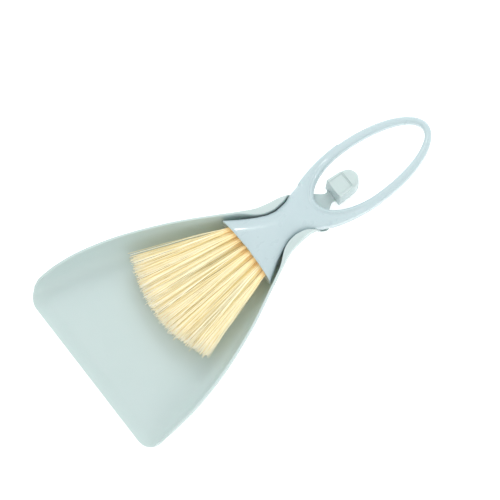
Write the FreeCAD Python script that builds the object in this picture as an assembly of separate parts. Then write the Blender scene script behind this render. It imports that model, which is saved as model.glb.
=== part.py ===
"""Dustpan and brush, a small hand set in moulded plastic.

+X is the right of the pan, +Y runs from the lip to the end of the brush's loop, +Z is up. Everything is
drawn with y = 0 at the lip and z = 0 under the floor, then moved so that the origin is under the middle.
"""
import FreeCAD, Part
import math
import os

V = FreeCAD.Vector

# ---- places along the set ---------------------------------------------------------------------------
PAN_BODY = 191.0           # lip to the end of the cheeks
CHEEK_PAST = 15.8          # the cheeks run on past the brush's waist by this much
HEAD_LENGTH = 34.5         # front corners of the head to the waist
LOOP_LENGTH = 120.6        # of the whole oval; its front end is buried in the waist
LOOP_PAST = 6.5            # waist to the buried front end of the oval
LOOP_FOOT = 21.3           # solid foot of the loop, from the oval's front end to the hole
LOOP_END = 5.1             # ring at the loop's far end
BRISTLE_REACH = 76.4       # front corners of the head to the longest tips
WAIST_Y = PAN_BODY - CHEEK_PAST
HEAD_Y = WAIST_Y - HEAD_LENGTH
LOOP_Y = WAIST_Y + LOOP_PAST + LOOP_LENGTH / 2             # middle of the loop
TUFT_TIP = HEAD_Y - BRISTLE_REACH

# ---- dustpan: one moulding, open at the front -------------------------------------------------------
PAN_WIDTH = 149.0          # across the lip
WALL_HEIGHT = 26.0         # rim above the table, at the throat
WALL = 1.8                 # side wall
FLOOR = 2.0                # floor, behind the lip
LIP = 0.9                  # floor at its front edge
LIP_DEPTH = 12.0           # length of the thinned lip
LIP_CORNER = 14.0          # plan radius of the two front corners
CHEEK = 4.1                # wall beside the brush's waist, at the end of the cheeks
HEAD_SIDE = 2.9            # corner of the brush's head to the wall beside it
CLOSE_IN = (25.0, 10.0)    # in front of the waist, the inside closes in on the brush between these
FLAT_UNDER = WAIST_Y - 19.2                                # flat underside, lip to the start of the ramp
RAMP = 16.0                # length over which the underside climbs to the neck
NECK_UNDER = 5.0           # underside of the neck above the table
CHANNEL_FLOOR = 2.4        # thickness of the channel's floor
NECK_TOP = 8.0             # top of the neck and of the channel floor

# ---- catch: the upright head at the end of the pan's neck, inside the brush's loop ------------------
NECK_WAIST = 8.4           # narrowest width of the neck
NECK_FLARE = 3.6           # from there to the front of the catch
CATCH_AHEAD = 15.2         # front end of the loop's hole to the front of the catch, at its top
CATCH_Y = LOOP_Y - LOOP_LENGTH / 2 + LOOP_FOOT + CATCH_AHEAD
CATCH_WIDTH = 16.4         # across its front
CATCH_TAPER = 0.7          # each side, from the front of the block to its back
CATCH_BLOCK = 12.0         # length of the block
CATCH_CAP = 8.7            # length of the rounded cap behind it
CATCH_TOP = 21.0           # top of the catch above the table
CATCH_LEAN = 1.8           # the foot of its front face stands forward by this much
CATCH_DISH = 0.9           # depth of the shallow dish in its top
CATCH_RIM = 1.2            # rim left at the sides of the dish
CATCH_SKIN = 1.9           # wall of the hollow underneath
CAP_ROUND = 3.2            # rounding of the cap's top edge

# ---- brush handle: one moulding, head + waist + oval loop -------------------------------------------
HOLE = 3.4                 # drilled hole for a tuft
ROW_RISE = 1.15 * HOLE     # rows of holes, one above another in the middle of the head
HEAD_WIDTH = 56.4
HEAD_ARCH = 1.3            # the middle of the head's front edge is set back by this much
HEAD_WALL = 2.2            # skin round the block that holds the bristles
HEAD_SPARE = 0.98          # block left above and below the holes, both together
HEAD_HEIGHT = 2 * ROW_RISE + HOLE + 2 * HEAD_WALL + HEAD_SPARE
WAIST_WIDTH = 22.4
HANDLE_TOP = 27.3          # highest line of head and waist above the table
LOOP_WIDTH = 52.6
LOOP_SIDE = 6.5            # ring at the loop's sides
LOOP_THICK = 8.2
LOOP_ROUND = 2.5           # rounding of the loop's edges
WAIST_SINK = 2.2           # the end of the waist lies this far inside the loop's foot
SIDE_GAP = 0.95            # waist to cheek, each side
UNDER_GAP = 0.5            # handle to the neck under it

# ---- bristles ---------------------------------------------------------------------------------------
BLOCK_DEPTH = 9.5          # pocket for the drilled block, from the head's corners
BLOCK_BACK = 0.3           # the block's face sits back from the middle of the head's edge
BLOCK_FIT = 0.1            # block to pocket, all round
HOLE_DEPTH = 7.0
TUFT_FIT = 0.1             # tuft to hole, all round
TIP_ARC = 7.5              # the outermost tips stop short by this much
TIP_POWER = 2.2            # 2 is a round arc; more is flatter in the middle
TIP_CLEAR = 0.8            # lowest bristles above the pan's floor
FAN_SHIFT = -1.5           # the tips lean a little to the left
ROW_DROP = 0.48            # share of that rise lost at the ends, under the crown of the head
TUFT_FILL = 0.9            # share of the pitch that a tuft fills at its tip
TUFT_SIDES = 16            # sides of the solid that stands for a tuft
ANCHOR = (2.9, 1.5, 0.4)   # flat wire: across the hole, along it, thickness
ROOT_REACH = 1.035         # edge of the top row's outermost holes, as a share of the pocket's half width
# tufts, outermost root set in from the top row's, half-span at the tips as a share of the head's half
# width, thickness at the tips
ROWS = [(8, 0.0, 1.433, 5.2), (7, 3.5, 1.135, 5.0), (8, 0.4, 1.277, 5.0)]
ROW_GAP = 0.3              # between the rows at the tips


def smooth(table, at):
    """A smooth curve through the (place, value) pairs of table, read at one place."""
    xs = [p[0] for p in table]
    ys = [p[1] for p in table]
    if at <= xs[0]:
        return ys[0]
    if at >= xs[-1]:
        return ys[-1]
    i = max(k for k in range(len(xs) - 1) if xs[k] <= at)
    step = [(ys[k + 1] - ys[k]) / (xs[k + 1] - xs[k]) for k in range(len(xs) - 1)]

    def slope(k):
        if k in (0, len(step)) or step[k - 1] * step[k] <= 0:
            return 0.0 if 0 < k < len(step) else step[min(k, len(step) - 1)]
        return 2 * step[k - 1] * step[k] / (step[k - 1] + step[k])

    h = xs[i + 1] - xs[i]
    t = (at - xs[i]) / h
    return (ys[i] * (2 * t**3 - 3 * t**2 + 1) + slope(i) * h * (t**3 - 2 * t**2 + t)
            + ys[i + 1] * (3 * t**2 - 2 * t**3) + slope(i + 1) * h * (t**3 - t**2))


def blend(start, end, at):
    """0 before start, 1 after end, and a smooth step between them."""
    t = min(1.0, max(0.0, (at - start) / (end - start)))
    return t * t * (3 - 2 * t)


# ---- outlines, as half widths along y ---------------------------------------------------------------
THROAT_HALF = WAIST_WIDTH / 2 + SIDE_GAP + CHEEK
# share of the way from lip to head, share of the taper between them
PAN_TAPER = [(0, 1), (0.122, 0.997), (0.258, 0.958), (0.461, 0.804), (0.747, 0.44)]
# share of the way from head to the end of the cheeks, share of the taper between them
CHEEK_TAPER = [(0, 1), (0.279, 0.542), (0.506, 0.228), (0.772, 0.07), (1, 0)]
# share of the way along the body, share of the wall's height at the throat
RIM_LINE = [(0, 0.14), (0.08, 0.60), (0.16, 0.80), (0.32, 0.91), (0.55, 0.96), (0.75, 1.0),
            (0.94, 1.0), (1, 0.8)]
# share of the way along the body, reach of the scooped foot of the wall inwards from the rim
SCOOP = [(0, 13.0), (0.11, 16.0), (0.34, 21.0), (0.55, 21.0), (0.74, 17.4), (0.86, 12.0), (1, 7.0)]
SCOOP_POWER = 2.2          # 2 is an ellipse; more is squarer
CHANNEL_FOOT = 2.0         # rounding at the foot of the channel between the cheeks
TRIM = 0.6                 # stock under the flat of the pan, cut off level
RIM_OVER = 1.5             # the inner face is drawn this much higher than the rim, so that it cuts cleanly


def pan_half(y):
    """Outside of the pan's rim: from the lip in to the brush's head, then in to the end of the cheeks."""
    lip = PAN_WIDTH / 2
    beside = HEAD_WIDTH / 2 + HEAD_SIDE + WALL
    body = [(HEAD_Y * p, beside + (lip - beside) * share) for p, share in PAN_TAPER]
    cheeks = [(HEAD_Y + (PAN_BODY - HEAD_Y) * p, THROAT_HALF + (beside - THROAT_HALF) * share)
              for p, share in CHEEK_TAPER]
    return smooth(body + cheeks, y)


# share of the way from head to waist, share of the head's flare
HEAD_FLARE = [(0, 1), (0.13, 0.82), (0.37, 0.50), (0.65, 0.20), (0.85, 0.045), (1, 0)]
# share of the way from waist to loop, share of the swell
LOOP_SWELL = [(0, 0), (0.33, 0.17), (0.68, 0.65), (1, 1)]
NECK_END = WAIST_Y + LOOP_PAST + LOOP_FOOT - LOOP_ROUND - 0.7    # the waist has sunk into the loop's foot


def handle_half(y):
    """Outside of the brush handle, from the head's corners to where the loop takes over."""
    waist = WAIST_WIDTH / 2
    if y < WAIST_Y:
        return waist + (HEAD_WIDTH / 2 - waist) * smooth(HEAD_FLARE, (y - HEAD_Y) / HEAD_LENGTH)
    if y >= NECK_END:
        return loop_half(y)
    swell = smooth(LOOP_SWELL, (y - WAIST_Y) / (NECK_END - WAIST_Y))
    return waist + (loop_half(NECK_END) - waist) * swell


def loop_half(y):
    """Outside of the oval loop."""
    t = (y - LOOP_Y) / (LOOP_LENGTH / 2)
    return LOOP_WIDTH / 2 * math.sqrt(max(0.0, 1 - t * t))


def inner_half(y):
    """Inside of the pan: the wall's inner face, closing in on the waist between the cheeks."""
    k = blend(WAIST_Y - CLOSE_IN[0], WAIST_Y - CLOSE_IN[1], y)
    return (pan_half(y) - WALL) * (1 - k) + (handle_half(y) + SIDE_GAP) * k


def rim_height(y):
    return WALL_HEIGHT * smooth(RIM_LINE, y / PAN_BODY)


def under(y):
    """Underside of the pan; where it is flat it is drawn too low, and trimmed level at the end."""
    k = blend(FLAT_UNDER, FLAT_UNDER + RAMP, y)
    return (NECK_TOP - CHANNEL_FLOOR) * k - TRIM * (1 - k)


def floor_top(y):
    """Top of the floor: thin at the lip, then level, then up the ramp to the channel."""
    level = LIP + (FLOOR - LIP) * blend(0, LIP_DEPTH, y)
    return level + (NECK_TOP - FLOOR) * blend(FLAT_UNDER, FLAT_UNDER + RAMP, y)


# ---- dustpan ----------------------------------------------------------------------------------------
def curve(points):
    spline = Part.BSplineCurve()
    spline.interpolate(points)
    return spline.toShape()


def trough(y, foot, half, low, high, top):
    """A closed section: flat from -foot to foot at low, scooped up to half at high, then a lid at top."""
    steps = 9
    side = []
    for i in range(steps):
        a = math.pi / 2 * i / (steps - 1)
        x = foot + (half - foot) * math.sin(a) ** (2 / SCOOP_POWER)
        z = high - (high - low) * math.cos(a) ** (2 / SCOOP_POWER)
        side.append(V(x, y, z))
    other = [V(-p.x, p.y, p.z) for p in reversed(side)]
    edges = [Part.makeLine(other[-1], side[0]), curve(side)]
    if top > high:
        edges += [Part.makeLine(side[-1], V(half, y, top)), Part.makeLine(V(half, y, top), V(-half, y, top)),
                  Part.makeLine(V(-half, y, top), other[0])]
    else:
        edges.append(Part.makeLine(side[-1], other[0]))
    edges.append(curve(other))
    return Part.Wire(edges)


def scoop(y):
    return smooth(SCOOP, y / PAN_BODY)


def stations(shares, past):
    """Places of the sections: shares of the flat underside, then lengths past the start of the ramp."""
    return [FLAT_UNDER * share for share in shares] + [FLAT_UNDER + length for length in past]


def pan_outside():
    wires = []
    for y in stations((0, 0.05, 0.115, 0.205, 0.32, 0.46, 0.61, 0.755, 0.87, 0.96), (2, 9, 16, 24, 30, 35)):
        half = pan_half(y)
        wires.append(trough(y, half - scoop(y), half, under(y), rim_height(y), 0))
    return Part.makeLoft(wires, True)


def pan_inside():
    lid = WALL_HEIGHT + 5
    wires = []
    for y in stations((-0.0064, 0.05, 0.115, 0.205, 0.32, 0.46, 0.61, 0.755, 0.87, 0.95),
                      (-2, 3, 8, 13, 18, 23, 27, 30, 33, 36)):
        half = inner_half(max(y, 0))
        k = blend(FLAT_UNDER, FLAT_UNDER + RAMP, y)
        reach = (scoop(max(y, 0)) - WALL) * (1 - k) + CHANNEL_FOOT * k
        high = rim_height(y) + RIM_OVER
        wires.append(trough(y, half - max(reach, 0.8), half, floor_top(max(y, 0)), high, lid))
    return Part.makeLoft(wires, True)


def plan_prism(outline, low, high):
    """A prism from z = low to z = high over the right-hand outline, mirrored to the left."""
    right = [V(x, y, low) for x, y in outline]
    left = [V(-p.x, p.y, low) for p in reversed(right)]
    edges = [curve(right), Part.makeLine(right[-1], left[0]), curve(left), Part.makeLine(left[-1], right[0])]
    return Part.Face(Part.Wire(edges)).extrude(V(0, 0, high - low))


def neck():
    """Flat neck: a shelf as wide as the foot of the loop that lies over it, from inside the end of the
    cheeks, then in to the narrowest place and out again into the catch."""
    narrow = CATCH_Y - NECK_FLARE
    start = PAN_BODY - 5
    half = NECK_WAIST / 2
    shelf = handle_half(NECK_END)
    outline = [(pan_half(start) - 0.4, start), (shelf - 1, NECK_END - 6), (shelf, NECK_END - 1),
               (2 * half, narrow - 7), (half, narrow), (half + 1.6, narrow + 2.4), (half + 2, narrow + 4.6)]
    return plan_prism(outline, NECK_UNDER, NECK_TOP)


def catch():
    """Upright head of the neck: a dished block with a leaning front, and a rounded cap behind it."""
    half = CATCH_WIDTH / 2
    back_y = CATCH_Y + CATCH_BLOCK
    back_half = half - CATCH_TAPER
    profile = [V(0, CATCH_Y - CATCH_LEAN, NECK_UNDER), V(0, back_y, NECK_UNDER), V(0, back_y, CATCH_TOP),
               V(0, CATCH_Y, CATCH_TOP)]
    block = Part.Face(Part.makePolygon(profile + profile[:1])).extrude(V(half, 0, 0))
    block = block.fuse(block.mirror(V(0, 0, 0), V(1, 0, 0))).removeSplitter()
    slope = CATCH_TAPER / CATCH_BLOCK
    for side in (-1, 1):
        off = [V(side * half, CATCH_Y, 0), V(side * (half + 5), CATCH_Y, 0),
               V(side * (half + 5), back_y + 1, 0), V(side * (half - slope * (CATCH_BLOCK + 1)), back_y + 1, 0)]
        block = block.cut(Part.Face(Part.makePolygon(off + off[:1])).extrude(V(0, 0, CATCH_TOP + 1)))
    dish_half = back_half - CATCH_RIM
    dish = Part.makeBox(2 * dish_half, CATCH_BLOCK + CATCH_LEAN + 1, CATCH_DISH + 1,
                        V(-dish_half, CATCH_Y - CATCH_LEAN - 1, CATCH_TOP - CATCH_DISH))
    rounded = max(back_half, CATCH_CAP + 0.01)
    oval = Part.Ellipse(V(0, back_y, NECK_UNDER), rounded, min(back_half, CATCH_CAP))
    oval.AngleXU = math.pi / 2 if CATCH_CAP >= back_half else 0.0
    cap = Part.Face(Part.Wire(oval.toShape())).extrude(V(0, 0, CATCH_TOP - NECK_UNDER))
    top_edge = [e for e in cap.Edges if e.BoundBox.ZMin > CATCH_TOP - 0.01]
    cap = cap.makeFillet(CAP_ROUND, top_edge)
    cap = cap.cut(Part.makeBox(60, 60, 60, V(-30, back_y - 60, -10)))
    hollow_half = back_half - CATCH_SKIN
    hollow = Part.makeBox(2 * hollow_half, CATCH_BLOCK + CATCH_CAP - 2 * CATCH_SKIN - CAP_ROUND,
                          CATCH_TOP - CATCH_DISH - CATCH_SKIN + 1, V(-hollow_half, CATCH_Y + CATCH_SKIN, -1))
    return block.cut(dish).fuse(cap), hollow


def make_dustpan():
    body = pan_outside()
    plan = Part.makeBox(PAN_WIDTH + 2, PAN_BODY + 10, WALL_HEIGHT + 20, V(-PAN_WIDTH / 2 - 1, 0, 0))
    corner = Part.makeBox(LIP_CORNER + 1, LIP_CORNER, WALL_HEIGHT + 20,
                          V(PAN_WIDTH / 2 - LIP_CORNER, 0, -5))
    post = Part.makeCylinder(LIP_CORNER, WALL_HEIGHT + 20, V(PAN_WIDTH / 2 - LIP_CORNER, LIP_CORNER, -5))
    corner = corner.cut(post)
    plan = plan.cut(corner).cut(corner.mirror(V(0, 0, 0), V(1, 0, 0)))
    shell = body.common(plan).cut(pan_inside())
    head, hollow = catch()
    shell = shell.fuse([neck(), head]).cut(hollow)
    return shell.removeSplitter()


# ---- brush handle -----------------------------------------------------------------------------------
HEAD_MID = HANDLE_TOP - HEAD_HEIGHT / 2
LOOP_UNDER = NECK_TOP + UNDER_GAP
SECTION_POWER = 3.0        # 2 is an ellipse; more is squarer


def oval_section(y, half, mid, rise):
    """A closed rounded section, half wide each way and rise high each way from mid."""
    points = []
    count = 24
    for i in range(count):
        a = 2 * math.pi * i / count
        c, s = math.cos(a), math.sin(a)
        x = half * math.copysign(abs(c) ** (2 / SECTION_POWER), c)
        z = rise * math.copysign(abs(s) ** (2 / SECTION_POWER), s)
        points.append(V(x, y, mid + z))
    spline = Part.BSplineCurve()
    spline.interpolate(points, PeriodicFlag=True)
    return Part.Wire(spline.toShape())


def handle_bottom(y):
    head = HANDLE_TOP - HEAD_HEIGHT
    k = blend(HEAD_Y, WAIST_Y - 4, y)
    return head * (1 - k) + LOOP_UNDER * k


def handle_crest(y):
    """Top line of the handle: level over head and waist, then down to the loop."""
    loop_top = LOOP_UNDER + LOOP_THICK
    k = blend(WAIST_Y, NECK_END, y)
    return HANDLE_TOP * (1 - k) + loop_top * k


def loop_hole():
    """The egg-shaped hole: two half ovals of one width."""
    half = LOOP_WIDTH / 2 - LOOP_SIDE
    low = LOOP_UNDER - 5
    halves = []
    for reach, way in ((LOOP_LENGTH / 2 - LOOP_FOOT, -1), (LOOP_LENGTH / 2 - LOOP_END, 1)):
        oval = Part.Ellipse(V(0, LOOP_Y, low), reach, half)
        oval.AngleXU = way * math.pi / 2
        arc = Part.ArcOfEllipse(oval, -math.pi / 2, math.pi / 2)
        halves.append(arc.toShape())
    return Part.Face(Part.Wire(Part.__sortEdges__(halves))).extrude(V(0, 0, 60))


def make_loop():
    oval = Part.Ellipse(V(0, LOOP_Y, LOOP_UNDER), LOOP_LENGTH / 2, LOOP_WIDTH / 2)
    oval.AngleXU = math.pi / 2
    ring = Part.Face(Part.Wire(oval.toShape())).extrude(V(0, 0, LOOP_THICK))
    ring = ring.cut(loop_hole())
    edges = [e for e in ring.Edges if e.BoundBox.ZLength < 0.01]
    return ring.makeFillet(LOOP_ROUND, edges)


def head_pocket(fit):
    """Space for the drilled block behind the head's front edge; fit makes it smaller all round."""
    wires = []
    steps = 5
    for i in range(steps):
        y = HEAD_Y - 3 + (BLOCK_DEPTH + 3) * i / (steps - 1)
        half = handle_half(max(y, HEAD_Y)) - HEAD_WALL - fit
        mid = (handle_crest(y) + handle_bottom(y)) / 2
        rise = (handle_crest(y) - handle_bottom(y)) / 2 - HEAD_WALL - fit
        wires.append(oval_section(y - (fit if i == steps - 1 else 0), half, mid, rise))
    return Part.makeLoft(wires, True)


def front_arch():
    """Everything in front of the head's gently arched front edge."""
    half = HEAD_WIDTH / 2
    radius = (half**2 + HEAD_ARCH**2) / (2 * HEAD_ARCH)
    return Part.makeCylinder(radius, 60, V(0, HEAD_Y + HEAD_ARCH - radius, -5))


def make_handle():
    wires = []
    steps = 22
    for i in range(steps):
        y = HEAD_Y + (NECK_END - HEAD_Y) * i / (steps - 1)
        sink = WAIST_SINK * blend(NECK_END - 12, NECK_END, y)
        crest, bottom = handle_crest(y) - sink / 2, handle_bottom(y) + sink / 2
        wires.append(oval_section(y, handle_half(y) - sink, (crest + bottom) / 2, (crest - bottom) / 2))
    body = Part.makeLoft(wires, True).fuse(make_loop())
    return body.cut(front_arch()).cut(head_pocket(0.0))


# ---- bristles ---------------------------------------------------------------------------------------
def root_span(row):
    """Middle of the head to the outermost root of one row, set by the pocket at the bottom of the holes."""
    pocket_half = handle_half(HEAD_Y + HOLE_DEPTH) - HEAD_WALL
    return ROOT_REACH * pocket_half - HOLE / 2 - ROWS[row][1]


def tip_span(row):
    """Middle of the head to the outermost tip of one row."""
    return ROWS[row][2] * HEAD_WIDTH / 2


def tuft_axes(row):
    """Root on the head's front edge, tip and direction of each tuft in one row."""
    count, _, _, thick = ROWS[row]
    axes = []
    for i in range(count):
        u = 2 * i / (count - 1) - 1
        across = root_span(row) * u
        radius = (HEAD_WIDTH**2 / 4 + HEAD_ARCH**2) / (2 * HEAD_ARCH)
        front = HEAD_Y + HEAD_ARCH - radius + math.sqrt(radius**2 - across**2)
        rise = ROW_RISE * (1 - ROW_DROP * (across / root_span(0)) ** 2)
        root = V(across, front, HEAD_MID + (1 - row) * rise)
        low = FLOOR + TIP_CLEAR + thick / 2
        tip_z = low + sum(ROWS[r][3] / 2 + ROWS[r + 1][3] / 2 + ROW_GAP for r in range(row, len(ROWS) - 1))
        tip = V(tip_span(row) * u + FAN_SHIFT, TUFT_TIP + TIP_ARC * abs(u) ** TIP_POWER, tip_z)
        axes.append((root, tip, (tip - root).normalize()))
    return axes


def turned(shape, place, along):
    """Lay a shape drawn along +Z so that it starts at place and runs along the given direction."""
    across = V(1, 0, 0) - along * along.x
    turn = FreeCAD.Rotation(across, along.cross(across), along, "ZXY")
    shape.Placement = FreeCAD.Placement(place, turn)
    return shape


def bundle_ring(wide, high, z):
    """Outline of a bundle at one place along it, as a many-sided oval."""
    turns = [2 * math.pi * i / TUFT_SIDES for i in range(TUFT_SIDES + 1)]
    return Part.makePolygon([V(wide * math.cos(a), high * math.sin(a), z) for a in turns])


def make_tuft(root, tip, along, row):
    """A bundle of filaments as one solid: straight in its hole, then flared and flattened to its tip."""
    count, _, _, thick = ROWS[row]
    back = HOLE_DEPTH - ANCHOR[1] - TUFT_FIT
    pitch = 2 * tip_span(row) / (count - 1)
    snug = HOLE / 2 - TUFT_FIT
    rings = [bundle_ring(snug, snug, 0), bundle_ring(snug, snug, back),
             bundle_ring(TUFT_FILL * pitch / 2, thick / 2, back + (tip - root).Length)]
    return turned(Part.makeLoft(rings, True, True), root - along * back, along)


def make_block():
    """Drilled plug that fills the head; every tuft has its own blind hole."""
    front = HEAD_Y + HEAD_ARCH + BLOCK_BACK
    block = head_pocket(BLOCK_FIT).cut(Part.makeBox(200, 60, 80, V(-100, front - 60, -10)))
    drills = []
    for row in range(len(ROWS)):
        for root, _, along in tuft_axes(row):
            drills.append(Part.makeCylinder(HOLE / 2, HOLE_DEPTH + 5, root + along * 5, along * -1))
    return block.cut(drills)


def make_anchors(row):
    """The flat wires of one row, each across the bottom of its hole."""
    across, deep, thick = ANCHOR
    wires = []
    for root, _, along in tuft_axes(row):
        wire = Part.makeBox(across, thick, deep, V(-across / 2, -thick / 2, 0))
        wires.append(turned(wire, root - along * (HOLE_DEPTH - 0.02), along))
    return Part.makeCompound(wires)


# ---- write every node -------------------------------------------------------------------------------
def main():
    os.makedirs("parts", exist_ok=True)
    shapes = {"dustpan": make_dustpan(), "brush_handle": make_handle(), "bristle_block": make_block()}
    for row in range(len(ROWS)):
        for i, (root, tip, along) in enumerate(tuft_axes(row)):
            shapes[f"tuft_row{row + 1}_{i + 1}"] = make_tuft(root, tip, along, row)
        shapes[f"tuft_staples_row{row + 1}"] = make_anchors(row)
    length = LOOP_Y + LOOP_LENGTH / 2
    for name, shape in shapes.items():
        shape.translate(V(0, -length / 2, 0))
        shape.exportStep(f"parts/{name}.step")
        print(name, shape.ShapeType, len(shape.Solids), shape.isValid(), round(shape.Volume, 1))


main()
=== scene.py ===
"""A moulded dustpan with the brush that lies in it, as they are put together: the pan, the catch at the
end of its neck, the brush's handle, the drilled block, the wires and the bristles. Lengths are in
millimetres from the pan's lip, +Y to the end of the loop, and become metres where a mesh is made."""

import math

import bmesh
import bpy
import numpy as np
from mathutils import Matrix, Vector


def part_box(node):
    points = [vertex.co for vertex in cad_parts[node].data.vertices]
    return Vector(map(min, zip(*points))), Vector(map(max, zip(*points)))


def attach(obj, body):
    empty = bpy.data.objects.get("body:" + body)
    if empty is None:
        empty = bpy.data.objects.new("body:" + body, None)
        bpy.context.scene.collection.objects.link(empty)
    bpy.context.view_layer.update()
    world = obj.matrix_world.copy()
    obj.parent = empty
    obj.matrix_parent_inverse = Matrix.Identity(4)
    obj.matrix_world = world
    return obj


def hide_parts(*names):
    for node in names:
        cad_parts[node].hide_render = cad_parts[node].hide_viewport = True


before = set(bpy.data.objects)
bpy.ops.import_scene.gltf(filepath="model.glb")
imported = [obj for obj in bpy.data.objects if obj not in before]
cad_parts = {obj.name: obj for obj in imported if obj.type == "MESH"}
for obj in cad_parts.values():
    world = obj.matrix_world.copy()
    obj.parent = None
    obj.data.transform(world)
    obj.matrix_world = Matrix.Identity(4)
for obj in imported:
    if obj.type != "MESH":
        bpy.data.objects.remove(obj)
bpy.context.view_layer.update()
scene = bpy.context.scene

# ---- studio -----------------------------------------------------------------------------------------
# A white table under broad soft lamps, looked at from nearly overhead: a little from the pan's right and
# from its lip, with the pan running from the lower left of the picture to the upper right.
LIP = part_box("dustpan")[0].y * 1000
VIEW_DISTANCE = 4.0        # metres from the middle of the set to the camera
VIEW_HALF = 0.177          # half of the width that is seen there, in metres
SENSOR = 36.0

aim = Vector((-0.0007, (LIP + 144.6) / 1000, 0.0151))
back = Vector((0.2496, -0.1662, 0.9540)).normalized()
right = Vector((0.5985, 0.8010, -0.0171)).normalized()
camera = bpy.data.objects.new("camera", bpy.data.cameras.new("camera"))
camera.matrix_world = Matrix((right, back.cross(right), back)).transposed().to_4x4()
camera.location = aim + back * VIEW_DISTANCE
camera.data.sensor_width = SENSOR
camera.data.lens = SENSOR / 2 / VIEW_HALF * VIEW_DISTANCE
scene.collection.objects.link(camera)
scene.camera = camera
scene.view_settings.view_transform = "Standard"

world = bpy.data.worlds.new("studio")
world.use_nodes = True
world.node_tree.nodes["Background"].inputs["Color"].default_value = (0.985, 1.0, 0.965, 1)
world.node_tree.nodes["Background"].inputs["Strength"].default_value = 0.91
scene.world = world


def lamp(name, place, size, watts, colour, shines, glints):
    """A square soft lamp at place, turned to the middle of the object. It lights surfaces, shows in them as
    a reflection, or does both."""
    light = bpy.data.lights.new(name, "AREA")
    light.size = size
    light.energy = watts
    light.color = colour
    obj = bpy.data.objects.new(name, light)
    obj.location = place
    obj.rotation_euler = Vector(place).to_track_quat("Z", "Y").to_euler()
    obj.visible_diffuse = shines
    obj.visible_glossy = glints
    scene.collection.objects.link(obj)


lamp("key", (-0.62, 0.72, 1.00), 0.70, 6.9, (0.95, 0.98, 1.0), True, False)
lamp("glint", (-0.56, 0.22, 1.15), 0.05, 1.2, (1.0, 1.0, 1.0), False, True)
lamp("fill", (1.2, -0.5, 0.7), 1.0, 3.6, (0.97, 1.0, 1.0), True, True)

UNDER_PAN = -0.0003        # metres: a hair below the pan, so that no face lies in another
TABLE_HALF = 3
table = bpy.data.meshes.new("table")
corners = [(-TABLE_HALF, -TABLE_HALF), (TABLE_HALF, -TABLE_HALF), (TABLE_HALF, TABLE_HALF),
           (-TABLE_HALF, TABLE_HALF)]
table.from_pydata([(x, y, UNDER_PAN) for x, y in corners], [], [(0, 1, 2, 3)])
table_top = bpy.data.objects.new("table", table)
scene.collection.objects.link(table_top)
paint = bpy.data.materials.new("table white")
paint.use_nodes = True
white = paint.node_tree.nodes["Principled BSDF"]
white.inputs["Base Color"].default_value = (0.92, 0.92, 0.92, 1)
white.inputs["Roughness"].default_value = 0.7
white.inputs["Emission Color"].default_value = (1, 1, 1, 1)
white.inputs["Emission Strength"].default_value = 0.45
table.materials.append(paint)

# ---- dustpan ----------------------------------------------------------------------------------------
# One thin moulding in pale blue-green polypropylene: a level floor that thins to the lip, scooped walls
# with rounded rims, two cheeks that hold the brush's waist, and a flat neck that runs on to the catch.
PAN_WIDTH = 149.0
PAN_BODY = 191.0           # lip to the end of the cheeks
PAN_END = 219.5            # lip to the end of the neck, inside the catch
WALL_HEIGHT = 26.0
WALL = 1.8
FLOOR = 2.0
LIP_THICK = 0.9
LIP_DEPTH = 12.0
LIP_CORNER = 14.0
NECK_UNDER = 5.0
NECK_TOP = 8.0
CHANNEL_UNDER = 5.6
RAMP = (156.0, 172.0)      # the floor climbs to the neck between these
SCOOP_POWER = 2.2
CHANNEL_FOOT = 2.0         # rounding at the foot of the channel between the cheeks
RIM_ROUND = 0.6
WAIST_Y = 175.2            # lip to the brush's waist
WAIST_HALF = 11.2
SIDE_GAP = 0.95            # waist to cheek
CHEEK = 4.1
THROAT_HALF = WAIST_HALF + SIDE_GAP + CHEEK
HEAD_Y = 140.7             # lip to the corners of the brush's head
HEAD_HALF = 28.2
HEAD_SIDE = 2.9            # head to the wall beside it
BESIDE_HEAD = HEAD_HALF + HEAD_SIDE + WALL
LOOP_Y = 242.0             # lip to the middle of the loop
LOOP_HALF = 26.3
LOOP_REACH = 60.3
LOOP_JOIN = 199.8          # where the waist's outline becomes the loop's


def through(pairs, at):
    """A smooth curve through (place, value) pairs, read at an array of places. Each span is a cubic, and
    the slope at a pair is the harmonic mean of the slopes beside it, so that the curve never overshoots."""
    x, y = np.array(pairs, float).T
    step = np.diff(y) / np.diff(x)
    same = step[:-1] * step[1:] > 0
    total = np.where(same, step[:-1] + step[1:], 1)
    slope = np.concatenate([step[:1], np.where(same, 2 * step[:-1] * step[1:] / total, 0), step[-1:]])
    at = np.clip(at, x[0], x[-1])
    i = np.clip(np.searchsorted(x, at, "right") - 1, 0, len(x) - 2)
    h = x[i + 1] - x[i]
    t = (at - x[i]) / h
    start = y[i] * (2 * t**3 - 3 * t**2 + 1) + slope[i] * h * (t**3 - 2 * t**2 + t)
    return start + y[i + 1] * (3 * t**2 - 2 * t**3) + slope[i + 1] * h * (t**3 - t**2)


def ease(start, end, at):
    """0 before start, 1 after end, and a smooth step between them."""
    t = np.clip((at - start) / (end - start), 0, 1)
    return t * t * (3 - 2 * t)


def handle_half(y):
    """Half width of the brush's handle: the head's corners, the waist, then the oval of the loop."""
    flare = through([(0, 1), (0.13, 0.82), (0.37, 0.50), (0.65, 0.20), (0.85, 0.045), (1, 0)],
                    (y - HEAD_Y) / (WAIST_Y - HEAD_Y))
    oval = LOOP_HALF * np.sqrt(np.clip(1 - ((y - LOOP_Y) / LOOP_REACH) ** 2, 0, 1))
    join = LOOP_HALF * math.sqrt(1 - ((LOOP_JOIN - LOOP_Y) / LOOP_REACH) ** 2)
    swell = through([(0, 0), (0.33, 0.17), (0.68, 0.65), (1, 1)], (y - WAIST_Y) / (LOOP_JOIN - WAIST_Y))
    waist = WAIST_HALF + (HEAD_HALF - WAIST_HALF) * flare + (join - WAIST_HALF) * swell
    return np.where(y < LOOP_JOIN, waist, oval)


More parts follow.
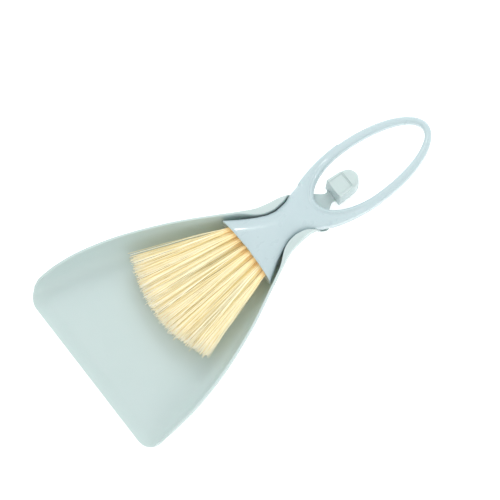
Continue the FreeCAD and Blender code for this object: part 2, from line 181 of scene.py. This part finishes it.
def pan_half(y):
    """Half width of the pan's outer face: lip to head, head to the end of the cheeks, then the shelf of
    the neck, its narrowest place and its flare."""
    body = [(HEAD_Y * p, BESIDE_HEAD + (PAN_WIDTH / 2 - BESIDE_HEAD) * share)
            for p, share in ((0, 1), (0.122, 0.997), (0.258, 0.958), (0.461, 0.804), (0.747, 0.44))]
    cheeks = [(HEAD_Y + (PAN_BODY - HEAD_Y) * p, THROAT_HALF + (BESIDE_HEAD - THROAT_HALF) * share)
              for p, share in ((0, 1), (0.279, 0.542), (0.506, 0.228), (0.772, 0.07), (1, 0))]
    neck = [(193.8, 17.8), (198.8, 18.8), (207.6, 8.4), (214.6, 4.2), (217, 5.8), (PAN_END, 6.4)]
    return through(body + cheeks + neck, y)


def inner_half(y):
    """Half width of the pan's inner face, which closes in on the brush's waist between the cheeks."""
    k = ease(WAIST_Y - 25, WAIST_Y - 10, y)
    inside = (pan_half(y) - WALL) * (1 - k) + (handle_half(np.minimum(y, 200)) + SIDE_GAP) * k
    thinnest = 0.45
    return np.minimum(inside, pan_half(y) - thinnest)


def rim_height(y):
    """Top of the wall: it rises quickly behind the lip, runs level, and drops to the neck past the cheeks."""
    share = through([(0, 0.14), (0.08, 0.60), (0.16, 0.80), (0.32, 0.91), (0.55, 0.96), (0.75, 1.0),
                     (0.945, 1.0), (0.985, 0.86), (1.015, 0.45), (1.035, 0.31)], y / PAN_BODY)
    return np.maximum(WALL_HEIGHT * share, NECK_TOP * ease(185, 196, y))


def scoop_reach(y):
    """How far the scooped foot of the wall reaches in from the rim."""
    return through([(0, 13.0), (0.11, 16.0), (0.34, 21.0), (0.55, 21.0), (0.74, 17.4), (0.86, 12.0),
                    (1, 7.0), (1.15, 2.5)], y / PAN_BODY)


def trough(across, y, foot, half, low, high):
    """A pan section: across runs from 0 in the middle to 1 at the foot along the flat, then to 2 at the rim
    up a quarter of a squarish ellipse."""
    turn = np.clip(across - 1, 0, 1) * math.pi / 2
    x = foot * np.minimum(across, 1) + (half - foot) * np.sin(turn) ** (2 / SCOOP_POWER)
    z = high - (high - low) * np.cos(turn) ** (2 / SCOOP_POWER)
    return x, y, z


def outer_face(across, y):
    """Outside of the pan."""
    climb = ease(*RAMP, y)
    low = CHANNEL_UNDER * climb + (NECK_UNDER - CHANNEL_UNDER) * ease(186, 196, y)
    half = pan_half(y)
    return trough(across, y, half - np.minimum(scoop_reach(y), half * 0.6), half, low, rim_height(y))


def inner_face(across, y):
    """Inside of the pan."""
    low = LIP_THICK + (FLOOR - LIP_THICK) * ease(0, LIP_DEPTH, y) + (NECK_TOP - FLOOR) * ease(*RAMP, y)
    k = ease(WAIST_Y - 22, WAIST_Y - 6, y)
    reach = np.maximum((scoop_reach(y) - WALL) * (1 - k) + CHANNEL_FOOT * k, 0.8)
    half = inner_half(y)
    return trough(across, y, half - reach, half, low, np.maximum(rim_height(y), low))


def pan_sheet(face, across, along):
    """One face of the pan as a grid. Each column starts on the rounded front outline, found by halving,
    and its rows are spread from there to the end of the neck."""
    near = np.zeros_like(across)
    far = np.full_like(across, LIP_CORNER)
    for _ in range(40):
        mid = (near + far) / 2
        past = np.clip(face(across, mid)[0] - (PAN_WIDTH / 2 - LIP_CORNER), 0, LIP_CORNER)
        short = mid < LIP_CORNER - np.sqrt(LIP_CORNER**2 - past**2)    # still in front of the outline
        near = np.where(short, mid, near)
        far = np.where(short, far, mid)
    start = far[None, :]
    y = start + (PAN_END - start) * along[:, None]
    x, y, z = face(np.broadcast_to(across, y.shape), y)
    return np.stack([x, y, z], -1)


def mirrored(half):
    """A grid's right half with its mirror image put before it, sharing the middle column."""
    return np.concatenate([half[:, :0:-1] * (-1, 1, 1), half], 1)


def grid_faces(rows, cols, first=0, wrap=False):
    """Corners of every square in a grid of points; wrap joins the last column to the first."""
    here = first + np.arange(rows * cols).reshape(rows, cols)
    if wrap:
        here = np.concatenate([here, here[:, :1]], 1)
    return np.stack([here[:-1, :-1], here[:-1, 1:], here[1:, 1:], here[1:, :-1]], -1).reshape(-1, 4)


def rim_strip(inside, outside, rounding, steps):
    """A rounded edge between two faces along their shared outline. Both faces are drawn back from the edge
    by the rounding, and the strip goes out again round a quarter circle, across, and back."""
    rows, cols = inside.shape[:2]
    r = np.concatenate([np.zeros(cols, int), np.arange(1, rows), np.full(cols - 1, rows - 1),
                        np.arange(rows - 2, 0, -1)])
    c = np.concatenate([np.arange(cols), np.full(rows - 1, cols - 1), np.arange(cols - 2, -1, -1),
                        np.zeros(rows - 2, int)])
    back_r = np.clip(r, 1, rows - 2)
    back_c = np.clip(c, 1, cols - 2)
    edge = []
    for face in (inside, outside):
        way = face[r, c] - face[back_r, back_c]
        edge.append(way / np.linalg.norm(way, axis=-1, keepdims=True))
    out = edge[0] + edge[1]
    out /= np.linalg.norm(out, axis=-1, keepdims=True)
    start = inside[r, c].copy()
    end = outside[r, c].copy()
    thick = np.linalg.norm(end - start, axis=-1, keepdims=True)
    size = np.minimum(rounding, 0.42 * thick)
    start -= size * out
    end -= size * out
    turn = np.linspace(0, math.pi / 2, steps)
    strips = []
    for t in turn:
        strips.append(start + (end - start) * size / thick * (1 - math.cos(t)) + out * size * math.sin(t))
    for t in turn[::-1]:
        strips.append(end - (end - start) * size / thick * (1 - math.cos(t)) + out * size * math.sin(t))
    inside[r, c] = start
    outside[r, c] = end
    return np.stack(strips)


def moulding(name, sheets, wraps):
    """A mesh in metres from grids of points in millimetres from the lip. Points that meet become one, and
    every face is turned outwards."""
    points = np.concatenate([s.reshape(-1, 3) for s in sheets])
    points = (points + (0, LIP, 0)) / 1000
    faces = []
    first = 0
    for sheet, wrap in zip(sheets, wraps):
        faces.append(grid_faces(*sheet.shape[:2], first, wrap))
        first += sheet.shape[0] * sheet.shape[1]
    mesh = bpy.data.meshes.new(name)
    mesh.from_pydata(points.tolist(), [], np.concatenate(faces).tolist())
    work = bmesh.new()
    work.from_mesh(mesh)
    bmesh.ops.remove_doubles(work, verts=work.verts, dist=2e-6)
    bmesh.ops.dissolve_degenerate(work, edges=work.edges, dist=1e-6)
    bmesh.ops.recalc_face_normals(work, faces=work.faces)
    work.to_mesh(mesh)
    work.free()
    mesh.polygons.foreach_set("use_smooth", np.ones(len(mesh.polygons), bool))
    obj = bpy.data.objects.new(name, mesh)
    scene.collection.objects.link(obj)
    return obj


across = np.concatenate([np.linspace(0, 1, 22), 1 + np.linspace(0, 1, 27)[1:]])
row_places = np.concatenate([np.linspace(0, 20, 16)[:-1], np.linspace(20, 140, 50)[:-1],
                             np.linspace(140, 200, 62)[:-1], np.linspace(200, PAN_END, 22)])
inside = mirrored(pan_sheet(inner_face, across, row_places / PAN_END))
outside = mirrored(pan_sheet(outer_face, across, row_places / PAN_END))
rim = rim_strip(inside, outside, RIM_ROUND, 5)
pan = moulding("pan_shell", [inside, outside, rim], [False, False, True])


def moulded_plastic(name, colour, deep, roughness):
    """Satin polypropylene: a slightly cloudy colour that is a touch deeper in patches, a fine spark-eroded
    grain, faint rubbed streaks, and light that goes a little way in."""
    material = bpy.data.materials.new(name)
    material.use_nodes = True
    tree = material.node_tree
    shader = tree.nodes["Principled BSDF"]
    coords = tree.nodes.new("ShaderNodeTexCoord")
    clouds = tree.nodes.new("ShaderNodeTexNoise")
    clouds.inputs["Scale"].default_value = 28
    clouds.inputs["Detail"].default_value = 3
    tree.links.new(coords.outputs["Object"], clouds.inputs["Vector"])
    tint = tree.nodes.new("ShaderNodeMix")
    tint.data_type = "RGBA"
    tint.inputs["A"].default_value = (*colour, 1)
    tint.inputs["B"].default_value = (*deep, 1)
    tree.links.new(clouds.outputs["Fac"], tint.inputs["Factor"])
    tree.links.new(tint.outputs["Result"], shader.inputs["Base Color"])
    streaks = tree.nodes.new("ShaderNodeTexNoise")
    streaks.inputs["Scale"].default_value = 160
    streaks.inputs["Detail"].default_value = 4
    stretch = tree.nodes.new("ShaderNodeMapping")
    stretch.inputs["Scale"].default_value = (1.4, 0.8, 1)
    tree.links.new(coords.outputs["Object"], stretch.inputs["Vector"])
    tree.links.new(stretch.outputs["Vector"], streaks.inputs["Vector"])
    rub = tree.nodes.new("ShaderNodeMapRange")
    rub.inputs["From Min"].default_value = 0.3
    rub.inputs["From Max"].default_value = 0.7
    rub.inputs["To Min"].default_value = roughness
    rub.inputs["To Max"].default_value = roughness + 0.02
    tree.links.new(streaks.outputs["Fac"], rub.inputs["Value"])
    tree.links.new(rub.outputs["Result"], shader.inputs["Roughness"])
    grain = tree.nodes.new("ShaderNodeTexNoise")
    grain.inputs["Scale"].default_value = 2600
    grain.inputs["Detail"].default_value = 2
    tree.links.new(coords.outputs["Object"], grain.inputs["Vector"])
    bump = tree.nodes.new("ShaderNodeBump")
    bump.inputs["Strength"].default_value = 0.25
    bump.inputs["Distance"].default_value = 0.00004
    tree.links.new(grain.outputs["Fac"], bump.inputs["Height"])
    tree.links.new(bump.outputs["Normal"], shader.inputs["Normal"])
    shader.inputs["Subsurface Weight"].default_value = 0.30
    shader.inputs["Subsurface Radius"].default_value = (0.8, 1.0, 0.9)
    shader.inputs["Subsurface Scale"].default_value = 0.003
    return material


pan_plastic = moulded_plastic("pan plastic", (0.548, 0.635, 0.642), (0.528, 0.618, 0.624), 0.42)
pan.data.materials.append(pan_plastic)
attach(pan, "dustpan")

# ---- catch ------------------------------------------------------------------------------------------
# The upright end of the pan's moulding, which stands up inside the brush's loop: a block with a leaning
# front and a shallow dish in its top, a groove, and a rounded cap. It is hollow underneath.
CATCH_Y = 218.2
CATCH_BACK = 230.2         # lip to the groove
CATCH_END = 238.9
CATCH_TOP = 21.0
CATCH_LEAN = 1.8
CATCH_DISH = 0.9
CATCH_HALF = (8.2, 7.5)    # at the front, at the groove
CATCH_SKIN = 1.9           # wall of the hollow underneath
CAP_ROUND = 4.2            # length over which the cap's end rounds down
CAP_DROP = 3.4             # how far it drops there
GROOVE = (0.33, 0.75)      # half width and depth of the groove across the top
EDGE = 0.6                 # rounding all round the front and the sides


def catch_section():
    """Places round one section, going up the right side, over the top and down the left, then under and
    round the hollow. Each has a share of the width, a share of the height, a way out at a rounded corner,
    and whether it is on the hollow."""
    corner = np.linspace(0, math.pi / 2, 6)
    side = np.linspace(0, 1, 9)
    top = np.linspace(1, -1, 61)
    flat = np.linspace(-1, 1, 5)
    parts = [
        np.stack([np.ones(9), side, np.ones(9), np.zeros(9), np.zeros(9)], 1),
        np.stack([np.ones(6), np.ones(6), np.cos(corner), np.sin(corner), np.zeros(6)], 1),
        np.stack([top, np.ones(61), np.zeros(61), np.ones(61), np.zeros(61)], 1),
        np.stack([-np.ones(6), np.ones(6), -np.sin(corner), np.cos(corner), np.zeros(6)], 1),
        np.stack([-np.ones(9), side[::-1], -np.ones(9), np.zeros(9), np.zeros(9)], 1),
        np.stack([-np.ones(1), np.zeros(1), -np.ones(1) * 0.7, -np.ones(1) * 0.7, np.zeros(1)], 1),
        np.stack([-np.ones(9), side, np.zeros(9), np.zeros(9), np.ones(9)], 1),
        np.stack([flat, np.ones(5), np.zeros(5), np.zeros(5), np.ones(5)], 1),
        np.stack([np.ones(9), side[::-1], np.zeros(9), np.zeros(9), np.ones(9)], 1),
        np.stack([np.ones(1), np.zeros(1), np.ones(1) * 0.7, -np.ones(1) * 0.7, np.zeros(1)], 1),
    ]
    return np.concatenate(parts).T


def catch_sheet(y):
    """The catch as sections carried along +Y. The front and the cap's end close to a point."""
    wide, tall, out_x, out_z, hollow = catch_section()
    y = y[:, None]
    taper = CATCH_HALF[0] + (CATCH_HALF[1] - CATCH_HALF[0]) * np.clip((y - CATCH_Y) / 12, 0, 1)
    past = np.clip((y - CATCH_BACK) / (CATCH_END - CATCH_BACK), 0, 1)
    half = taper * np.sqrt(1 - past**2)
    fall = np.clip((y - (CATCH_END - CAP_ROUND)) / CAP_ROUND, 0, 1)
    top = CATCH_TOP - CAP_DROP * (1 - np.sqrt(1 - fall**2))
    top = top - GROOVE[1] * np.exp(-((y - CATCH_BACK) / GROOVE[0]) ** 2)
    corner = np.minimum(0.55 + 2.4 * ease(CATCH_BACK, CATCH_BACK + 0.8, y), np.maximum(half, 1e-3) * 0.98)
    edge = np.clip((y - CATCH_Y) / EDGE, 0, 1)
    inset = EDGE * (1 - np.sqrt(1 - (1 - edge) ** 2))
    half = half - inset
    top = top - inset
    low = NECK_UNDER + inset
    x = wide * (half - corner) + corner * out_x
    z = low + corner + tall * (top - low - 2 * corner) + corner * out_z
    z = np.where((tall == 0) & (hollow == 0), low, z)
    dish = (1 - ease(CATCH_BACK - 0.7, CATCH_BACK - 0.35, y)) * (1 - ease(5.95, 6.45, np.abs(x)))
    z = z - CATCH_DISH * dish * ((tall == 1) & (out_z == 1) & (hollow == 0))
    inner = (y > CATCH_Y + CATCH_SKIN) & (y < CATCH_END - 4.9)
    roof = np.where(inner, CATCH_TOP - CATCH_DISH - CATCH_SKIN, low + 0.02)
    x = np.where(hollow == 1, wide * np.minimum(5.6, half - 1.2), x)
    z = np.where(hollow == 1, low + tall * (roof - low), z)
    down = 1 - (z - NECK_UNDER) / (CATCH_TOP - NECK_UNDER)
    lean = CATCH_LEAN * down * (1 - ease(CATCH_Y, CATCH_Y + 5, y))
    rings = np.stack([x, np.broadcast_to(y, x.shape) - lean, z], -1)
    middle = rings.mean(1, keepdims=True)
    front = np.broadcast_to(middle[:1], rings[:1].shape)
    end = np.broadcast_to(middle[-1:], rings[-1:].shape)
    return np.concatenate([front, rings, end])


catch_places = np.concatenate([
    CATCH_Y + EDGE * (1 - np.cos(np.linspace(0, math.pi / 2, 5))),
    CATCH_Y + np.array([1.2, 1.88, 1.92, 3, 4, 5, 7, 9]),
    np.linspace(CATCH_BACK - 1.1, CATCH_BACK + 1.1, 19),
    np.linspace(CATCH_BACK + 1.4, CATCH_END - 4.95, 5),
    CATCH_END - 4.85 * np.cos(np.linspace(0, math.pi / 2, 16))])
catch = moulding("pan_catch", [catch_sheet(catch_places)], [True])
catch.data.materials.append(pan_plastic)
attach(catch, "dustpan")
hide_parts("dustpan")

# ---- brush handle -----------------------------------------------------------------------------------
# One solid moulding in the same plastic, a shade bluer: a crowned head that flares to the bristles and is
# open in front for their block, a waist, and a thin oval loop with rounded edges.
HANDLE_TOP = 27.3
HEAD_UNDER = 10.7
LOOP_UNDER = 8.5
HOLE_HALF = 19.8           # the loop's hole: half width, and reach to the front and to the back
HOLE_FRONT = 39.0
HOLE_BACK = 55.2
HEAD_ARCH = 1.3            # the middle of the head's front edge is set back by this much
HEAD_WALL = 2.2            # skin round the pocket
POCKET = 9.4               # depth of the head's pocket


def head_front(x):
    """The head's front edge, a shallow arc whose middle is set back."""
    radius = (HEAD_HALF**2 + HEAD_ARCH**2) / (2 * HEAD_ARCH)
    return HEAD_Y + HEAD_ARCH - radius + np.sqrt(radius**2 - x**2)


def crest(y):
    """Highest line of the handle: a low crown over the head, then down to the flat top of the loop."""
    return through([(140, 26.6), (152, 27.2), (160, 27.3), (168, 27.15), (180, 25.9), (192, 21.4),
                    (202, 17.7), (212, 16.7), (303, 16.2)], y)


def keel(y):
    """Lowest line of the handle, from under the head to under the loop."""
    return HEAD_UNDER + (LOOP_UNDER - HEAD_UNDER) * ease(HEAD_Y, WAIST_Y - 4, y)


def distance_to(outline, points):
    """Distance in plan from every point to the nearest point of an outline drawn finely."""
    flat = points.reshape(-1, 2)
    best = np.full(len(flat), 1e9)
    for part in np.array_split(outline, 8):
        gap = flat[:, None] - part[None]
        best = np.minimum(best, np.sqrt((gap**2).sum(-1)).min(1))
    return best.reshape(points.shape[:-1])


def edge_drop(distance, reach, depth):
    """How far a surface has dropped at this distance from an edge that is rounded as a quarter ellipse."""
    t = 1 - np.clip(distance / reach, 0, 1)
    return depth * (1 - np.sqrt(1 - t * t))


def handle_half_sheets():
    """The right half of the handle as grids that run from the head's front to the end of the loop, and
    from the middle or the loop's hole out to the outline."""
    ahead = np.concatenate([[0, 0.0012, 0.005, 0.012], np.linspace(0.025, 1, 74)])
    outer_a = HEAD_Y + (LOOP_JOIN - HEAD_Y) * ahead
    inner_a = HEAD_Y + HEAD_ARCH + (LOOP_Y - HOLE_FRONT - HEAD_Y - HEAD_ARCH) * ahead
    turn = np.linspace(-math.pi / 2, math.pi / 2, 130)[1:]
    start = math.asin((LOOP_JOIN - LOOP_Y) / LOOP_REACH)
    swing = through([(-math.pi / 2, start), (-0.9, start * 0.62), (0, 0.0), (math.pi / 2, math.pi / 2)], turn)
    reach = np.where(turn < 0, HOLE_FRONT, HOLE_BACK)
    inner = np.concatenate([np.stack([0 * inner_a, inner_a], 1),
                            np.stack([HOLE_HALF * np.cos(turn), LOOP_Y + reach * np.sin(turn)], 1)])
    outer = np.concatenate([np.stack([handle_half(outer_a), outer_a], 1),
                            np.stack([LOOP_HALF * np.cos(swing), LOOP_Y + LOOP_REACH * np.sin(swing)], 1)])
    out = (1 - np.cos(np.linspace(0, math.pi, 34))) / 2
    plan = inner[:, None] + (outer - inner)[:, None] * out[None, :, None]
    ring = np.linspace(-math.pi / 2, math.pi / 2, 1200)
    hole = np.stack([HOLE_HALF * np.cos(ring),
                     LOOP_Y + np.where(ring < 0, HOLE_FRONT, HOLE_BACK) * np.sin(ring)], 1)
    line = np.linspace(HEAD_Y - 12, LOOP_JOIN, 900)
    side = np.concatenate([np.stack([handle_half(np.maximum(line, HEAD_Y)), line], 1),
                           np.stack([LOOP_HALF * np.cos(ring), LOOP_Y + LOOP_REACH * np.sin(ring)], 1)[600:]])
    edge = side[(side[:, 1] < LOOP_JOIN) | (side[:, 0] >= 0)]
    from_edge = distance_to(edge, plan)
    from_hole = distance_to(hole, plan)
    from_edge[:, -1] = 0
    from_hole[len(ahead) - 1:, 0] = 0
    x, y = plan[..., 0], plan[..., 1]
    from_front = np.maximum(y - head_front(x), 0)
    from_front[0] = 0
    soft = 1 - ease(178, 212, y)           # head and waist are crowned, the loop is nearly flat
    top = crest(y) - edge_drop(from_edge, 2.9 + 8.0 * soft, 2.6 + 2.6 * soft)
    top = top - edge_drop(from_hole, 2.4, 2.0) - edge_drop(from_front, 0.7, 0.7)
    foot = 1 - ease(LOOP_Y - 32, LOOP_Y - 8, y)
    # a low lip round the front of the hole, with a shallow valley outside it
    lip = np.exp(-((from_hole - 1.9) / 0.9) ** 2) - np.exp(-((from_hole - 4.2) / 1.2) ** 2)
    top = top + foot * 0.5 * lip
    low = keel(y) + edge_drop(from_edge, 2.6 + 4.0 * soft, 2.3 + 1.2 * soft)
    low = low + edge_drop(from_hole, 2.6, 2.3) + edge_drop(from_front, 0.7, 0.7)
    upper = np.stack([x, y, top], -1)
    lower = np.stack([x, y, low], -1)
    rise = np.linspace(0, 1, 6)[None, :, None]
    outer_side = upper[:, -1:] + (lower[:, -1:] - upper[:, -1:]) * rise
    loop = slice(len(ahead) - 1, None)
    inner_side = upper[loop, :1] + (lower[loop, :1] - upper[loop, :1]) * rise
    mouth = np.concatenate([upper[0], outer_side[0, 1:-1], lower[0, ::-1]])
    return upper, lower, outer_side, inner_side, mouth


def pocket_rings(mouth):
    """The front face of the head and the pocket behind it: the mouth's outline, then the same outline
    drawn onto the pocket's oval and carried back, then closed to a point."""
    rings = [mouth]
    x = mouth[:, 0]
    for depth, skin in ((0.0, HEAD_WALL - 0.35), (0.12, HEAD_WALL - 0.1), (0.4, HEAD_WALL),
                        (4.5, HEAD_WALL), (POCKET, HEAD_WALL)):
        y = head_front(np.clip(x, 0, HEAD_HALF)) + depth
        flat_y = HEAD_Y + depth
        mid = (HANDLE_TOP + keel(np.array(flat_y))) / 2
        half = handle_half(np.array(flat_y)) - skin
        tall = HANDLE_TOP - mid - skin
        rise = mouth[:, 2] - mid
        scale = ((np.abs(x) / half) ** 3 + (np.abs(rise) / tall) ** 3) ** (-1 / 3)
        rings.append(np.stack([x * scale, y, mid + rise * scale], 1))
    rings.append(np.broadcast_to((0, rings[-1][:, 1].mean(), mid), mouth.shape))
    return np.stack(rings)


upper, lower, outer_side, inner_side, mouth = handle_half_sheets()
half_sheets = [upper, lower, outer_side, inner_side, pocket_rings(mouth)]
both = half_sheets + [sheet * (-1, 1, 1) for sheet in half_sheets]
handle = moulding("handle_moulding", both, [False] * len(both))
handle_plastic = moulded_plastic("handle plastic", (0.514, 0.615, 0.655), (0.498, 0.600, 0.640), 0.27)
gloss = handle_plastic.node_tree.nodes["Principled BSDF"]
gloss.inputs["Coat Weight"].default_value = 0.25
gloss.inputs["Coat Roughness"].default_value = 0.10
handle.data.materials.append(handle_plastic)
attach(handle, "brush")
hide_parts("brush_handle")

# ---- drilled block and wires ------------------------------------------------------------------------
# The block is pressed into the head and drilled for the tufts. A flat steel wire is driven across the
# bottom of each hole, with its tuft folded round it, so the wires never show.
block_plastic = moulded_plastic("block plastic", (0.50, 0.56, 0.50), (0.47, 0.53, 0.47), 0.55)
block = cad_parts["bristle_block"]
block.data.materials.clear()
block.data.materials.append(block_plastic)

wire_steel = bpy.data.materials.new("wire steel")
wire_steel.use_nodes = True
steel = wire_steel.node_tree.nodes["Principled BSDF"]
steel.inputs["Base Color"].default_value = (0.62, 0.62, 0.60, 1)
steel.inputs["Metallic"].default_value = 1.0
drawn = wire_steel.node_tree.nodes.new("ShaderNodeTexNoise")
drawn.inputs["Scale"].default_value = 900
wire_steel.node_tree.links.new(drawn.outputs["Fac"], steel.inputs["Roughness"])
for row in (1, 2, 3):
    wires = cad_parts[f"tuft_staples_row{row}"]
    wires.data.materials.clear()
    wires.data.materials.append(wire_steel)

# ---- bristles ---------------------------------------------------------------------------------------
# Each tuft is a bundle of springy cream filaments, folded in its hole and fanned out to its tip, with a
# slight crimp, uneven ends and a few that stray. The roots are painted darker and more golden, as painted
# shade where light can't reach.
STRANDS = 70               # ends in one tuft
STRAND_RADIUS = 0.20
STRAND_SIDES = 5
STRAND_STEPS = 10
ROOT_HALF = 1.42           # of a tuft in its hole
TIP_SHARE = (1.12, 0.92)   # of the solid tuft's width and height, reached by the tips
LOOSE = (1.3, 0.16)        # scatter of the tips, sideways and up and down
CRIMP = 0.12
rng = np.random.default_rng(7)


def tuft_axis(node):
    """Root, tip and the tip's half width and half height of a tuft, read from the end rings of its solid.
    The ends are found again and again, more closely each time, as the direction between them settles."""
    co = np.zeros(len(node.data.vertices) * 3)
    node.data.vertices.foreach_get("co", co)
    co = co.reshape(-1, 3) * 1000
    along = np.array([0.0, -1.0, 0.0])
    for near in (6.0, 1.0, 0.2, 0.05):
        far = co @ along
        root = co[far < far.min() + min(near, 2.0)].mean(0)
        tip = co[far > far.max() - near].mean(0)
        along = (tip - root) / np.linalg.norm(tip - root)
    ring = co[co @ along > (co @ along).max() - 0.1] - tip
    side = np.cross(along, (0, 0, 1))
    side /= np.linalg.norm(side)
    rise = np.cross(side, along)
    return root, tip, along, side, rise, np.abs(ring @ side).max(), np.abs(ring @ rise).max()


def strand_tubes(paths, radius, sides):
    """Thin round tubes along many paths at once. Each ring lies square to the path, and a flat cap closes
    each end. Returns points, side faces, caps, and for every point its share of the way along."""
    count, steps = paths.shape[:2]
    way = np.gradient(paths, axis=1)
    way /= np.linalg.norm(way, axis=-1, keepdims=True)
    side = np.cross(way, (0.0, 0.0, 1.0))
    side /= np.linalg.norm(side, axis=-1, keepdims=True)
    rise = np.cross(side, way)
    turn = np.linspace(0, 2 * math.pi, sides, endpoint=False)
    ring = (side[:, :, None] * np.cos(turn)[None, None, :, None]
            + rise[:, :, None] * np.sin(turn)[None, None, :, None])
    points = paths[:, :, None] + ring * radius[:, :, None, None]
    each = steps * sides
    here = np.arange(each).reshape(steps, sides)
    here = np.concatenate([here, here[:, :1]], 1)
    quads = np.stack([here[:-1, :-1], here[:-1, 1:], here[1:, 1:], here[1:, :-1]], -1).reshape(-1, 4)
    faces = (quads[None] + (np.arange(count) * each)[:, None, None]).reshape(-1, 4)
    caps = np.stack([here[0, :sides][::-1], here[-1, :sides]])
    caps = (caps[None] + (np.arange(count) * each)[:, None, None]).reshape(-1, sides)
    share = np.broadcast_to(np.linspace(0, 1, steps)[None, :, None], points.shape[:3])
    return points.reshape(-1, 3), faces, caps, share.reshape(-1)


def bundle(name, node, strands, strays):
    """One tuft. Strands start evenly over the round hole and keep their place as they fan out evenly over
    the width of the tip, with a low crimp and their own length; strays lean out from the side they are on."""
    root, tip, along, side, rise, wide, high = tuft_axis(node)
    length = np.linalg.norm(tip - root)
    spin = rng.uniform(0, 2 * math.pi, strands)
    out = np.sqrt(rng.uniform(0, 1, strands))
    x, y = out * np.cos(spin), out * np.sin(spin)
    chord = np.sqrt(1 - x * x)
    t = np.linspace(0, 1, STRAND_STEPS)[None]
    reach = length * (1 + rng.normal(-0.006, 0.014, strands))[:, None]
    fan = np.clip((t - 0.07) / 0.93, 0, 1) ** 1.05
    lean = rng.normal(0, 1, (strands, 2)) * LOOSE
    lean[:abs(strays), 0] += np.sign(strays) * rng.uniform(3.0, 7.0, abs(strays))
    bend = np.where(np.arange(strands) < abs(strays), 0.6, 1.5)[:, None]
    phase = rng.uniform(0, 2 * math.pi, (strands, 2, 1))
    waves = rng.uniform(9, 20, (strands, 2, 1))
    crimp = CRIMP * np.sin(phase + t[:, None] * waves) * np.minimum(t * 3, 1)[:, None]
    tip_x = 2 / math.pi * (x * chord + np.arcsin(x)) * wide * TIP_SHARE[0]
    tip_y = y / chord * high * TIP_SHARE[1]
    a = x[:, None] * ROOT_HALF * (1 - fan) + tip_x[:, None] * fan + lean[:, :1] * fan**bend + crimp[:, 0]
    b = y[:, None] * ROOT_HALF * (1 - fan) + tip_y[:, None] * fan + lean[:, 1:] * fan**2 + crimp[:, 1]
    paths = root + along * (reach * t)[..., None] + side * a[..., None] + rise * b[..., None]
    radius = STRAND_RADIUS * (1 - 0.3 * ease(0.94, 1.0, t)) * rng.uniform(0.75, 1.2, (strands, 1))
    points, faces, caps, share = strand_tubes(paths, radius, STRAND_SIDES)
    mesh = bpy.data.meshes.new(name)
    mesh.from_pydata((points / 1000).tolist(), [], faces.tolist() + caps.tolist())
    mesh.polygons.foreach_set("use_smooth", np.ones(len(mesh.polygons), bool))
    tone = np.repeat(rng.uniform(0, 1, strands), STRAND_STEPS * STRAND_SIDES)
    depth = np.repeat(out, STRAND_STEPS * STRAND_SIDES)
    paint = mesh.color_attributes.new("strand", "FLOAT_COLOR", "POINT")
    paint.data.foreach_set("color", np.stack([share, tone, depth, np.ones_like(share)], 1).ravel())
    obj = bpy.data.objects.new(name, mesh)
    scene.collection.objects.link(obj)
    return obj


def filament():
    """Cream filament: butter yellow along its length and paler at the cut end, with painted shade that makes
    it golden and darker at the root, and every strand a slightly different tone. A little glow stands for
    light scattered inside the bundle."""
    material = bpy.data.materials.new("cream filament")
    material.use_nodes = True
    tree = material.node_tree
    shader = tree.nodes["Principled BSDF"]
    strand = tree.nodes.new("ShaderNodeAttribute")
    strand.attribute_name = "strand"
    parts = tree.nodes.new("ShaderNodeSeparateColor")
    tree.links.new(strand.outputs["Color"], parts.inputs["Color"])
    length = tree.nodes.new("ShaderNodeValToRGB")
    ramp = length.color_ramp
    # painted shade: the root end of every strand is coloured darker and more golden
    ramp.elements[0].position = 0.06
    ramp.elements[0].color = (1.0, 0.80, 0.46, 1)
    ramp.elements[1].position = 1.0
    ramp.elements[1].color = (1.0, 0.98, 0.88, 1)
    for place, colour in ((0.14, (1.0, 0.94, 0.70, 1)), (0.30, (1.0, 0.978, 0.81, 1)),
                          (0.80, (0.99, 0.965, 0.81, 1))):
        ramp.elements.new(place).color = colour
    tree.links.new(parts.outputs["Red"], length.inputs["Fac"])
    tone = tree.nodes.new("ShaderNodeValToRGB")
    tones = tone.color_ramp
    tones.elements[0].color = (0.50, 0.45, 0.31, 1)
    tones.elements[1].color = (1.0, 1.0, 1.0, 1)
    for place, colour in ((0.14, (0.80, 0.73, 0.53, 1)), (0.26, (1.0, 0.90, 0.66, 1)),
                          (0.5, (0.98, 0.93, 0.81, 1))):
        tones.elements.new(place).color = colour
    tree.links.new(parts.outputs["Green"], tone.inputs["Fac"])
    shade = tree.nodes.new("ShaderNodeVectorMath")
    shade.operation = "MULTIPLY"
    tree.links.new(length.outputs["Color"], shade.inputs[0])
    tree.links.new(tone.outputs["Color"], shade.inputs[1])
    tree.links.new(shade.outputs["Vector"], shader.inputs["Base Color"])
    tree.links.new(shade.outputs["Vector"], shader.inputs["Emission Color"])
    glow = tree.nodes.new("ShaderNodeMapRange")
    glow.inputs["From Max"].default_value = 0.4
    glow.inputs["To Min"].default_value = 0.17
    glow.inputs["To Max"].default_value = 0.16
    tree.links.new(parts.outputs["Red"], glow.inputs["Value"])
    tree.links.new(glow.outputs["Result"], shader.inputs["Emission Strength"])
    shader.inputs["Roughness"].default_value = 0.35
    through_light = tree.nodes.new("ShaderNodeBsdfTranslucent")
    tree.links.new(shade.outputs["Vector"], through_light.inputs["Color"])
    both = tree.nodes.new("ShaderNodeMixShader")
    both.inputs["Fac"].default_value = 0.12
    tree.links.new(shader.outputs["BSDF"], both.inputs[1])
    tree.links.new(through_light.outputs["BSDF"], both.inputs[2])
    tree.links.new(both.outputs["Shader"], tree.nodes["Material Output"].inputs["Surface"])
    return material


cream = filament()
for name in sorted(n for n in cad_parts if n.startswith("tuft_row")):
    strays = {"1": 4, "8": -2}.get(name[-1], 0)
    tuft = bundle(name.replace("tuft", "bristles"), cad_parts[name], STRANDS, strays)
    tuft.data.materials.append(cream)
    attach(tuft, "brush")
    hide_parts(name)
